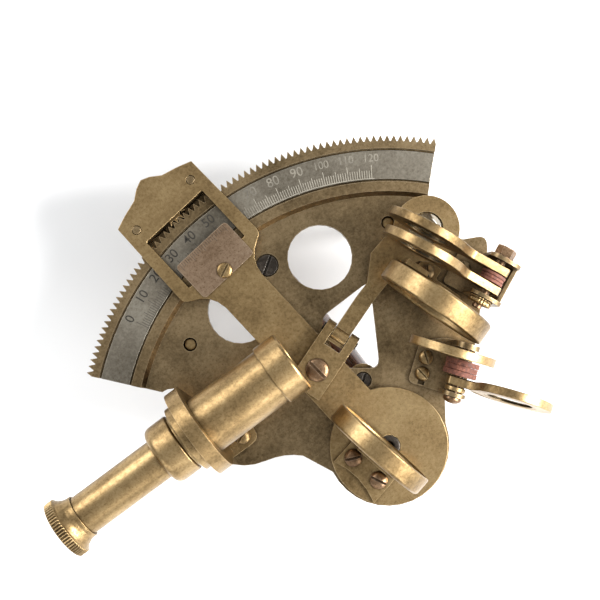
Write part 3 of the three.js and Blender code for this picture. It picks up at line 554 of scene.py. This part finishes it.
# Each screw: node, place, head radius, head height, shank radius, shank length.
SCREWS = [
    ("horizon_mirror_screw", HORIZON_MIRROR @ stand(5.9, 4.6, 1.4 - MIRROR_Z, 40), 1.8, 1.2, 0.9, 1.3),
    ("index_mirror_screw_1", INDEX_MIRROR @ stand(6.3, -1.9, 5.3 - MIRROR_Z, -35), 2.2, 1.6, 1, 1.2),
    ("index_mirror_screw_2", INDEX_MIRROR @ stand(6.3, 6.4, 5.3 - MIRROR_Z, -75), 2.2, 1.6, 1, 1.2),
    ("clevis_screw", CLEVIS @ stand(0, 0, 8.25, -102), 2.85, 1, 1.5, 6.2),
    ("vernier_screw", ARM @ stand(59.4, 0, 4.4, -70), 1.95, 0.75, 0.9, 2.3),
    ("telescope_screw", SIGHT @ stand(6, -8, 1.6 - SIGHT_Z, 20), 2.1, 1.4, 1, 1.5),
    ("horizon_bracket_screw", HORIZON_SHADES @ stand(0, 5.6, 1.2 - HORIZON_SHADES_Z, 30), 1.8, 1.1, 0.9, 1.1),
    ("index_bracket_screw_1", INDEX_SHADES @ stand(-0.2, 8.1, 1.2 - INDEX_SHADES_Z, 60), 1.8, 1.3, 0.9, 1.1),
    ("index_bracket_screw_2", INDEX_SHADES @ stand(3.9, 8.4, 1.2 - INDEX_SHADES_Z, 35), 1.8, 1.3, 0.9, 1.1),
]


def make_screws():
    for node, group, head, height, shank, length in SCREWS:
        remake(node, slotted(head, height, shank, length), group)


# ---------------------------------------------------------------- frame


SCALE_ZERO = 300
SCALE_STEP = -0.504  # degrees of bearing for each unit of the scale
SCALE_TOP = 1.4
ENGRAVED = 0.012  # how far a line stands above its plate, so that it shows
DIVISION_START = 66.5
NUMBER_RADIUS = 71.5


def radial_line(bm, bearing, start, end, width, z):
    """A fine engraved line along a radius, as a flat-topped sliver."""
    line = bar(start, -width / 2, z - 0.05, end, width / 2, z + ENGRAVED)
    line.transform(stand(bearing=bearing))
    merge(bm, line)


def number(bm, text, size, group):
    """A number lying flat, centred on the group's origin and read along its +X."""
    data = bpy.data.curves.new("digits", "FONT")
    data.body = text
    data.size = size
    data.align_x = "CENTER"
    data.align_y = "CENTER"
    data.extrude = 0.03
    data.offset = 0.012
    holder = bpy.data.objects.new("digits", data)
    bpy.context.scene.collection.objects.link(holder)
    bpy.context.view_layer.update()
    mesh = bpy.data.meshes.new_from_object(holder.evaluated_get(bpy.context.evaluated_depsgraph_get()))
    mesh.transform(group)
    bm.from_mesh(mesh)
    bpy.data.objects.remove(holder)
    bpy.data.curves.remove(data)
    bpy.data.meshes.remove(mesh)


def make_scale():
    """The divisions and numbers of the silvered arc."""
    refine("scale_strip", 0.1)
    lines = bmesh.new()
    for k in range(0, 121):
        bearing = SCALE_ZERO + k * SCALE_STEP
        reach = 3.3 if k % 10 == 0 else 2.7 if k % 5 == 0 else 2.0
        radial_line(lines, bearing, DIVISION_START, DIVISION_START + reach, 0.13, SCALE_TOP)
    inner = [Vector(polar(66.42, 239 + i)) for i in range(0, 63)]
    outer = [Vector(polar(66.54, 301 - i)) for i in range(0, 63)]
    merge(lines, slab([inner + outer], SCALE_TOP - 0.05, SCALE_TOP + ENGRAVED, 0.005))
    worn = engraved("worn_divisions", (0.03, 0.026, 0.02), (0.5, 0.46, 0.38))
    piece("scale_divisions", lines, "scale_strip", slot="dark_screws", finish=worn)
    digits = bmesh.new()
    for k in range(0, 121, 10):
        bearing = SCALE_ZERO + k * SCALE_STEP
        x, y = polar(NUMBER_RADIUS, bearing)
        number(digits, str(k), 3.3 if k < 100 else 2.7, stand(x, y, SCALE_TOP - 0.015, bearing - 90))
    worn = engraved("worn_numbers", (0.012, 0.01, 0.008), (0.26, 0.235, 0.19))
    piece("scale_numbers", digits, "scale_strip", slot="dark_screws", finish=worn)


def make_frame():
    def clear_of_teeth(a, b):
        return max(a.xy.length, b.xy.length) < 75.5 or (a.z + b.z) / 2 < -2

    refine("frame_plate", 0.16, clear_of_teeth)
    make_scale()
    for name, (radius, bearing) in LEGS.items():
        x, y = polar(radius, bearing)
        remake(name, lathe([
            (0, -30),
            (2.6, -30),
            (3.3, -29.1),
            (3.3, -27.8),
            (2.6, -26.6),
            (2.0, -25.5),
            (1.9, -16),
            (2.1, -7),
            (3.0, -5.6),
            (3.9, -4.2),
            (3.9, -2.5),
            (1.6, -2.5),
            (1.6, -0.7),
            (0, -0.7),
        ], 56, 0.5), stand(x, y))


def make_handle():
    (x0, y0), (x1, y1) = HANDLE_POSTS["limb"], HANDLE_POSTS["hub"]
    length = math.hypot(x1 - x0, y1 - y0)
    bearing = math.degrees(math.atan2(y1 - y0, x1 - x0))
    half = length / 2 + 6
    grip = lathe([
        (0, -half),
        (2.2, -half),
        (3.1, -half + 0.5),
        (3.4, -half + 1.5),
        (3.52, -half + 6),
        (3.85, -half + 14),
        (4, 0),
        (3.85, half - 14),
        (3.52, half - 6),
        (3.4, half - 1.5),
        (3.1, half - 0.5),
        (2.2, half),
        (0, half),
    ], 64, 1.2)
    grip.transform(Matrix.Diagonal((1, 1, 1.5, 1)) @ ON_SIDE)
    remake("handle_grip", grip, stand((x0 + x1) / 2, (y0 + y1) / 2, -17, bearing))
    for name, (x, y) in HANDLE_POSTS.items():
        remake(f"handle_post_{name}", lathe([
            (0, -16.8),
            (2.2, -16.8),
            (2.2, -10.4),
            (3.3, -9.6),
            (3.3, -8.8),
            (2.3, -7.4),
            (2.1, -6.2),
            (2.3, -5),
            (4, -3.8),
            (4, -2.5),
            (0, -2.5),
        ], 56, 0.3), stand(x, y))
        refine(f"handle_screw_{name}", 0.06)


# ---------------------------------------------------------------- mirrors


def make_mirror(name, group, radius, depth):
    """A lipped round cell and the silvered glass in it; the open front is toward -X."""
    half = depth / 2
    wall = 1.3
    cell = lathe([
        (0, half - 1.2),
        (radius - wall, half - 1.2),
        (radius - wall, -half + 0.5),
        (radius - wall + 0.35, -half),
        (radius - 0.3, -half),
        (radius, -half + 0.3),
        (radius, half - 0.5),
        (radius - 0.5, half),
        (radius * 0.45, half),
        (0, half),
    ], 112, 0.22)
    cell.transform(ON_SIDE)
    remake(f"{name}_cell", cell, group)
    glass = lathe([
        (0, half - 2.9),
        (radius - wall - 0.6, half - 2.9),
        (radius - wall - 0.1, half - 2.55),
        (radius - wall - 0.1, half - 1.3),
        (0, half - 1.3),
    ], 96, 0.05)
    glass.transform(ON_SIDE)
    remake(f"{name}_glass", glass, group)
    refine(f"{name}_foot", 0.22)


# ---------------------------------------------------------------- index arm


def make_index_arm():
    refine("index_arm", 0.2)
    refine("pinion_carrier", 0.15)
    refine("vernier_plate", 0.09)
    refine("magnifier_clevis", 0.35, segments=3)
    refine("magnifier_arm", 0.2)
    refine("tangent_pinion", 0.05)
    refine("magnifier_pin", 0.12)
    remake("arm_axle", lathe([
        (0, -4.6),
        (2.7, -4.6),
        (2.7, 3.95),
        (1.2, 3.95),
        (1.2, 2.2),
        (0, 2.2),
    ], 56, 0.2))
    remake("arm_axle_nut", lathe([
        (2.8, -6),
        (4.6, -6, 0.25),
        (4.6, -3.6, 0.25),
        (5.8, -3.6),
        (5.8, -2.7),
        (2.8, -2.7),
    ], 128, 0.15))
    remake("tangent_knob", lathe([
        (0, -10.9),
        (4.4, -10.9),
        (4.9, -10.6),
        (5.5, -10.2, 0.3),
        (5.5, -7.1, 0.3),
        (4.9, -6.5),
        (2.4, -6.4),
        (2.4, -5.7),
        (1.3, -5.7),
        (1.3, -9.1),
        (0, -9.1),
    ], 192, 0.2), PINION_AXIS)
    divisions = bmesh.new()
    for k in range(-12, 13):
        reach = 1.9 if k % 6 == 0 else 1.2
        y = k * 0.6
        merge(divisions, bar(67.95 - reach, y - 0.05, 4.35, 67.95, y + 0.05, 4.4 + ENGRAVED))
    piece("vernier_divisions", divisions, "vernier_plate", ARM, slot="dark_screws")
    remake("magnifier_lens", lathe([
        (0, -0.5),
        (1.6, -0.42),
        (2.8, -0.24),
        (4, 0),
        (4, 0.9),
        (2.8, 1.14),
        (1.6, 1.32),
        (0, 1.4),
    ], 64, 0.05), CLEVIS @ stand(43.6, -3, 5.8))


# ---------------------------------------------------------------- telescope


def make_telescope():
    refine("telescope_bracket", 0.3, segments=3)
    parts = {
        "telescope_tube": ([
            (6.1, -1.8), (7.15, -1.8), (7.15, 24), (6.1, 24),
        ], 0.1),
        "telescope_collar": ([
            (5.15, -11.1), (6.4, -11.1), (7.1, -10.6), (7.45, -9.9), (7.55, -9.2), (7.55, -4.9),
            (7.3, -4.6), (7.05, -4.5), (7.05, -3.95), (8.6, -3.8), (8.6, -1.9), (5.15, -1.9),
        ], 0.25),
        "objective_bezel": ([
            (7.25, 21.4), (7.65, 21.4), (7.8, 21.7), (7.8, 27.1), (7.5, 27.6), (6.2, 27.6),
            (6, 27.3), (6, 26.4), (6.95, 26.4), (6.95, 24.2), (7.25, 24.2),
        ], 0.15),
        "draw_tube": ([
            (4.2, -36.4), (5.05, -36.4), (5.05, 2), (4.2, 2),
        ], 0.1),
        "eyepiece_cap": ([
            (3, -40.1), (6.9, -40.1), (7.2, -39.95), (7.45, -39.75, 0.45), (7.45, -37.9, 0.45),
            (7.1, -37.6), (6.8, -37.4), (6.3, -36.8), (5.85, -35.9), (5.6, -34.9), (5.55, -33.9),
            (5.15, -33.9), (5.15, -38.4), (3, -38.6),
        ], 0.12),
    }
    for node, (profile, radius) in parts.items():
        bm = lathe(profile, 240 if node == "eyepiece_cap" else 112, radius)
        bm.transform(ON_SIDE)
        remake(node, bm, SIGHT)
    lenses = (("objective_lens", 24.9, 6.8, 1, 0.5), ("eye_lens", -37.8, 4.9, 0.7, 0.4))
    for node, x, radius, rim, bulge in lenses:
        bm = lathe([
            (0, -bulge),
            (radius * 0.35, -bulge * 0.88),
            (radius * 0.7, -bulge * 0.51),
            (radius, 0),
            (radius, rim),
            (radius * 0.7, rim + bulge * 0.51),
            (radius * 0.35, rim + bulge * 0.88),
            (0, rim + bulge),
        ], 72, 0.05)
        bm.transform(Matrix.Translation((x, 0, 0)) @ ON_SIDE)
        remake(node, bm, SIGHT)


# ---------------------------------------------------------------- shades


def shade_outline(reach):
    """The spoon-shaped outline of a shade frame, counterclockwise, with the bolt at the origin."""
    radius, tail, meet = 10.35, 2.6, 140
    rx, ry = polar(radius, meet)
    outline = [Vector((-tail + 0.6, -tail)), Vector((reach - radius - 2, -tail))]
    outline += curve_points(outline[-1], (reach - radius + 0.2, -tail - 0.3), (reach + rx, -ry))[1:]
    outline += ring_points(reach, 0, radius, -meet, meet, 72)[1:]
    neck = (reach - radius - 2, tail)
    outline += curve_points((reach + rx, ry), (reach - radius + 0.2, tail + 0.3), neck)[1:]
    outline += [Vector((-tail + 0.6, tail)), Vector((-tail, tail - 0.6)), Vector((-tail, -tail + 0.6))]
    return outline


TWIST_START = 3  # where a shade's twist begins, just past its washers
TWIST_LENGTH = 2


def twisted(bm, twist):
    """Turns a flat shade's far part about its length, easing in past the bolt's washers."""
    for vert in bm.verts:
        share = min(max((vert.co.x - TWIST_START) / TWIST_LENGTH, 0), 1)
        vert.co = Matrix.Rotation(math.radians(twist) * share, 3, "X") @ vert.co
    return bm


def make_shade(name, group, along, tilt, twist, reach):
    """One shade frame with its glass, and the thin ring on each side that holds the glass in."""
    turn = group @ stand(along) @ Matrix.Rotation(math.radians(tilt), 4, "X") @ ON_SIDE
    hole = ring_points(0, 0, 1.3, 360, 0, 32)
    opening = ring_points(reach, 0, 6.5, 360, 0, 72)
    body = slab([shade_outline(reach), hole, opening], -1.05, 1.05, 0.22)
    remake(name, twisted(body, twist), turn)
    centre = Matrix.Translation((reach, 0, 0))
    glass = lathe([(0, -0.55), (6.3, -0.55), (6.3, 0.55), (0, 0.55)], 72, 0.12)
    glass.transform(centre)
    remake(f"{name}_glass", twisted(glass, twist), turn)
    rings = bmesh.new()
    for low, high in ((0.58, 0.95), (-0.95, -0.58)):
        merge(rings, lathe([(5.7, low), (6.48, low), (6.48, high), (5.7, high)], 72, 0.1))
    rings.transform(centre)
    piece(f"{name}_retaining_rings", twisted(rings, twist), name, turn, slot="dark_brass")


def washers(node, group, start, end, radius, count):
    """A stack of thin rounded washers that fills the space of one CAD node."""
    bm = bmesh.new()
    step = (end - start) / count
    for i in range(count):
        low = start + i * step + 0.03
        high = start + (i + 1) * step - 0.03
        size = radius - 0.12 * (i % 2)
        merge(bm, lathe([(1.3, low), (size, low), (size, high), (1.3, high)], 40, 0.14))
    bm.transform(ON_SIDE)
    remake(node, bm, group)


def make_horizon_shades():
    refine("horizon_shade_bracket", 0.16)
    bolt = lathe([(0, -8.2), (1.1, -8.2), (1.2, -8.0), (1.2, 5.6), (0, 5.6)], 40, 0.1)
    merge(bolt, slab([ring_points(0, 0, 2.45, 0, 360, 6)], 5.55, 7.95, 0.25))
    merge(bolt, lathe([(0, 5.46), (2.3, 5.46), (2.3, 5.7), (0, 5.7)], 40, 0.05))
    bolt.transform(ON_SIDE)
    remake("horizon_shade_bolt", bolt, HORIZON_SHADES)
    nut = lathe([
        (1.3, -7.1), (2.6, -7.1), (2.9, -6.9, 0.2), (2.9, -6.1, 0.2),
        (2.6, -5.95), (3, -5.85, 0.3), (3, -5.52, 0.3), (1.3, -5.5),
    ], 96, 0.08)
    nut.transform(ON_SIDE)
    remake("horizon_shade_nut", nut, HORIZON_SHADES)
    washers("horizon_shade_washers", HORIZON_SHADES, -1.2, 1.2, 3, 3)
    for name, along, tilt in (("horizon_shade_1", 2.4, 9), ("horizon_shade_2", -2.4, 20)):
        make_shade(name, HORIZON_SHADES, along, tilt, 0, 19)


def make_index_shades():
    refine("index_shade_bracket", 0.16)
    bolt = lathe([
        (0, -5), (0.8, -4.95), (1.5, -4.7), (2.05, -4.35), (2.3, -4.0),
        (2.3, -3.3), (1.2, -3.3), (1.2, 10.3), (0, 10.3),
    ], 48, 0.12)
    bolt = carve(bolt, bar(-3, -0.28, -6, 3, 0.28, -4.3))
    bolt.transform(ON_SIDE)
    remake("index_shade_bolt", bolt, INDEX_SHADES)
    washers("index_shade_bushing", INDEX_SHADES, -1.9, -0.75, 2.6, 1)
    washers("index_shade_washers", INDEX_SHADES, 2, 5.95, 4.2, 3)
    for name, along, tilt, twist in (("index_shade_1", 7.3, 69.3, 0), ("index_shade_2", 0.6, 180, -6.5)):
        make_shade(name, INDEX_SHADES, along, tilt, twist, 13.7)


# ---------------------------------------------------------------- studio


def make_floor():
    """A pale floor under the feet."""
    look = Look("pale_floor")
    tone = look.ramp(look.noise(60, 3, 0.5), (0.3, (0.76, 0.76, 0.76)), (0.7, (0.79, 0.79, 0.79)))
    material = look.set(Base_Color=tone, Roughness=0.85, Emission_Color=(1, 1, 1, 1), Emission_Strength=0.04)
    mesh = bpy.data.meshes.new("floor")
    half = 3
    corners = [(-half, -half, 0), (half, -half, 0), (half, half, 0), (-half, half, 0)]
    mesh.from_pydata(corners, [], [(0, 1, 2, 3)])
    floor = bpy.data.objects.new("floor", mesh)
    floor.location.z = -0.0002
    mesh.materials.append(material)
    bpy.context.scene.collection.objects.link(floor)


def softbox(name, bearing, elevation, distance, size, power, target):
    """A rectangular area light aimed at the object."""
    light = bpy.data.lights.new(name, "AREA")
    light.shape = "RECTANGLE"
    light.size, light.size_y = size
    light.energy = power
    obj = bpy.data.objects.new(name, light)
    bpy.context.scene.collection.objects.link(obj)
    x, y = polar(distance * math.cos(math.radians(elevation)), bearing)
    obj.location = target + Vector((x, y, distance * math.sin(math.radians(elevation))))
    obj.rotation_euler = (target - obj.location).to_track_quat("-Z", "Y").to_euler()


def make_studio():
    make_floor()
    world = bpy.data.worlds.new("studio")
    bpy.context.scene.world = world
    world.use_nodes = True
    background = world.node_tree.nodes["Background"]
    background.inputs["Color"].default_value = (0.96, 0.98, 1.0, 1)
    background.inputs["Strength"].default_value = 0.6
    bpy.context.scene.view_settings.view_transform = "Standard"
    target = PIVOT + Vector((0, -0.035, 0))
    softbox("key", 143, 38, 0.9, (0.4, 0.5), 21, target)
    softbox("low", 105, 26, 0.9, (0.35, 0.35), 5, target)
    softbox("fill", 290, 35, 1.0, (0.7, 0.5), 6, target)
    softbox("rim", 40, 30, 1.0, (0.8, 0.4), 3, target)


CAMERA_HEIGHT = 320  # above the web's upper face
CAMERA_SPOT = (-0.55, -40.15)
IMAGE_RIGHT = 146  # bearing of the image's right
IMAGE_SHIFT = 10 / 600


def make_camera():
    data = bpy.data.cameras.new("camera")
    data.sensor_width = 36
    data.lens = 76.8
    data.shift_y = IMAGE_SHIFT
    data.clip_start = 0.01
    camera = bpy.data.objects.new("camera", data)
    bpy.context.scene.collection.objects.link(camera)
    camera.location = PIVOT + Vector((*CAMERA_SPOT, CAMERA_HEIGHT)) * MM
    camera.rotation_euler = (0, 0, math.radians(IMAGE_RIGHT))
    bpy.context.scene.camera = camera


def finish_nodes():
    """Every CAD node that is still shown gets its slot's material."""
    for name, obj in frame["nodes"].items():
        obj.data.materials.clear()
        obj.data.materials.append(MATERIALS[SLOT_OF[name]])


finish_nodes()
make_frame()
make_handle()
make_mirror("horizon_mirror", HORIZON_MIRROR, 14.2, 5.3)
make_mirror("index_mirror", INDEX_MIRROR, 13.55, 4.7)
make_index_arm()
make_telescope()
make_horizon_shades()
make_index_shades()
make_screws()
make_studio()
make_camera()
